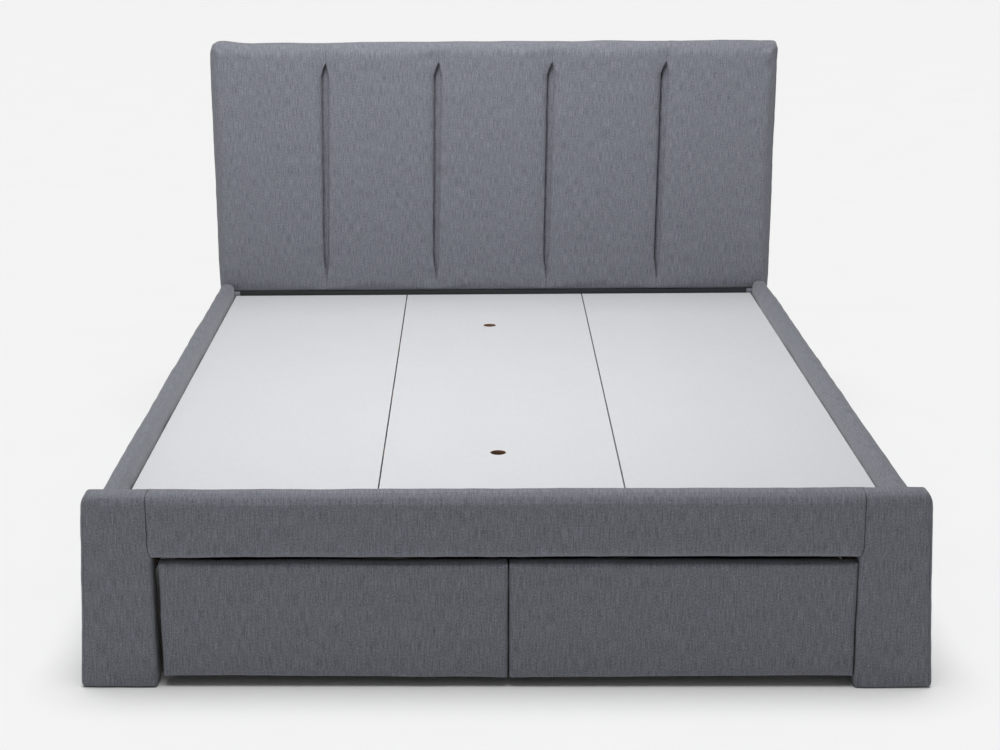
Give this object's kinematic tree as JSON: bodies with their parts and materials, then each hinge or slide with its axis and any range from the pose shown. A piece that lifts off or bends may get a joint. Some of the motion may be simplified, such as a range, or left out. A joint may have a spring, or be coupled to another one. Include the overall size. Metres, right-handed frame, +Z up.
{
  "type": "platform bed with storage drawers",
  "caption": "Upholstered platform bed with a channel-tufted headboard, padded rails, a loose panel deck and castor drawers that pull out at the foot.",
  "frame": {"origin": "centre of the bed's footprint, on the floor", "axes": "+X to the right seen from the foot, +Y from the foot to the headboard, +Z up"},
  "size_m": [1.675, 2.19, 1.064],
  "materials": {
    "grey_fabric": "woven melange upholstery over foam",
    "black_cloth": "black non-woven backing",
    "white_laminate": "satin white laminate on board",
    "timber": "planed softwood",
    "plywood": "plywood",
    "black_board": "black melamine board",
    "drawer_board": "pale laminated board",
    "castor_plastic": "matte nylon",
    "black_plastic": "matte plastic",
    "bracket_steel": "black powder coat",
    "zinc_steel": "zinc plated"
  },
  "bodies": {
    "frame": {"bracket_bolts": "zinc_steel", "centre_leg_feet": "zinc_steel", "centre_legs": "bracket_steel", "corner_brackets": "bracket_steel", "cross_beam_1": "timber", "cross_beam_2": "timber", "cross_beam_3": "timber", "cross_beam_4": "timber", "cross_beam_5": "timber", "deck_ledge_left": "timber", "deck_ledge_right": "timber", "drawer_divider": "black_board", "floor_glides": "black_plastic", "foot_post_core_left": "timber", "foot_post_core_right": "timber", "foot_post_cover_left": "grey_fabric", "foot_post_cover_right": "grey_fabric", "foot_rail_core": "timber", "foot_rail_cover": "grey_fabric", "headboard_back_cover": "black_cloth", "headboard_bottom_rail": "timber", "headboard_face_board": "plywood", "headboard_leg_cover_left": "grey_fabric", "headboard_leg_cover_right": "grey_fabric", "headboard_lower_panel": "black_cloth", "headboard_studs": "timber", "headboard_top_rail": "timber", "headboard_upholstery": "grey_fabric", "headboard_upright_left": "timber", "headboard_upright_right": "timber", "side_rail_board_left": "plywood", "side_rail_board_right": "plywood", "side_rail_cover_left": "grey_fabric", "side_rail_cover_right": "grey_fabric", "storage_partition": "black_board"},
    "drawer_left": {"drawer_left_back": "drawer_board", "drawer_left_bottom": "drawer_board", "drawer_left_castor_frames": "zinc_steel", "drawer_left_front_board": "drawer_board", "drawer_left_front_cover": "grey_fabric", "drawer_left_inner_side": "drawer_board", "drawer_left_outer_side": "drawer_board"},
    "drawer_right": {"drawer_right_back": "drawer_board", "drawer_right_bottom": "drawer_board", "drawer_right_castor_frames": "zinc_steel", "drawer_right_front_board": "drawer_board", "drawer_right_front_cover": "grey_fabric", "drawer_right_inner_side": "drawer_board", "drawer_right_outer_side": "drawer_board"},
    "drawer_left_wheel_back_inner": {"drawer_left_wheel_back_inner": "castor_plastic"},
    "drawer_left_wheel_back_outer": {"drawer_left_wheel_back_outer": "castor_plastic"},
    "drawer_left_wheel_front_inner": {"drawer_left_wheel_front_inner": "castor_plastic"},
    "drawer_left_wheel_front_outer": {"drawer_left_wheel_front_outer": "castor_plastic"},
    "drawer_right_wheel_back_inner": {"drawer_right_wheel_back_inner": "castor_plastic"},
    "drawer_right_wheel_back_outer": {"drawer_right_wheel_back_outer": "castor_plastic"},
    "drawer_right_wheel_front_inner": {"drawer_right_wheel_front_inner": "castor_plastic"},
    "drawer_right_wheel_front_outer": {"drawer_right_wheel_front_outer": "castor_plastic"},
    "deck_panel_centre": {"deck_panel_centre": "white_laminate"},
    "deck_panel_left": {"deck_panel_left": "white_laminate"},
    "deck_panel_right": {"deck_panel_right": "white_laminate"}
  },
  "joints": [
    {"name": "drawer_left_slide", "type": "slide", "parent": "frame", "child": "drawer_left", "axis": [0, -1, 0], "range_m": [0, 0.75]},
    {"name": "drawer_right_slide", "type": "slide", "parent": "frame", "child": "drawer_right", "axis": [0, -1, 0], "range_m": [0, 0.75]},
    {"name": "drawer_left_wheel_back_inner_spin", "type": "hinge", "parent": "drawer_left", "child": "drawer_left_wheel_back_inner", "pos_m": [-0.0695, -0.159, 0.02], "axis": [1, 0, 0], "continuous": true},
    {"name": "drawer_left_wheel_back_outer_spin", "type": "hinge", "parent": "drawer_left", "child": "drawer_left_wheel_back_outer", "pos_m": [-0.5945, -0.159, 0.02], "axis": [1, 0, 0], "continuous": true},
    {"name": "drawer_left_wheel_front_inner_spin", "type": "hinge", "parent": "drawer_left", "child": "drawer_left_wheel_front_inner", "pos_m": [-0.0695, -0.97, 0.02], "axis": [1, 0, 0], "continuous": true},
    {"name": "drawer_left_wheel_front_outer_spin", "type": "hinge", "parent": "drawer_left", "child": "drawer_left_wheel_front_outer", "pos_m": [-0.5945, -0.97, 0.02], "axis": [1, 0, 0], "continuous": true},
    {"name": "drawer_right_wheel_back_inner_spin", "type": "hinge", "parent": "drawer_right", "child": "drawer_right_wheel_back_inner", "pos_m": [0.0895, -0.159, 0.02], "axis": [1, 0, 0], "continuous": true},
    {"name": "drawer_right_wheel_back_outer_spin", "type": "hinge", "parent": "drawer_right", "child": "drawer_right_wheel_back_outer", "pos_m": [0.606, -0.159, 0.02], "axis": [1, 0, 0], "continuous": true},
    {"name": "drawer_right_wheel_front_inner_spin", "type": "hinge", "parent": "drawer_right", "child": "drawer_right_wheel_front_inner", "pos_m": [0.0895, -0.97, 0.02], "axis": [1, 0, 0], "continuous": true},
    {"name": "drawer_right_wheel_front_outer_spin", "type": "hinge", "parent": "drawer_right", "child": "drawer_right_wheel_front_outer", "pos_m": [0.606, -0.97, 0.02], "axis": [1, 0, 0], "continuous": true},
    {"name": "deck_panel_centre_lift", "type": "slide", "parent": "frame", "child": "deck_panel_centre", "axis": [0, 0, 1], "range_m": [0, 0.3]},
    {"name": "deck_panel_left_lift", "type": "slide", "parent": "frame", "child": "deck_panel_left", "axis": [0, 0, 1], "range_m": [0, 0.3]},
    {"name": "deck_panel_right_lift", "type": "slide", "parent": "frame", "child": "deck_panel_right", "axis": [0, 0, 1], "range_m": [0, 0.3]}
  ],
  "couplings": [
    {"joint": "drawer_left_wheel_back_inner_spin", "follows": "drawer_left_slide", "rad_per_m": 50},
    {"joint": "drawer_left_wheel_back_outer_spin", "follows": "drawer_left_slide", "rad_per_m": 50},
    {"joint": "drawer_left_wheel_front_inner_spin", "follows": "drawer_left_slide", "rad_per_m": 50},
    {"joint": "drawer_left_wheel_front_outer_spin", "follows": "drawer_left_slide", "rad_per_m": 50},
    {"joint": "drawer_right_wheel_back_inner_spin", "follows": "drawer_right_slide", "rad_per_m": 50},
    {"joint": "drawer_right_wheel_back_outer_spin", "follows": "drawer_right_slide", "rad_per_m": 50},
    {"joint": "drawer_right_wheel_front_inner_spin", "follows": "drawer_right_slide", "rad_per_m": 50},
    {"joint": "drawer_right_wheel_front_outer_spin", "follows": "drawer_right_slide", "rad_per_m": 50}
  ]
}
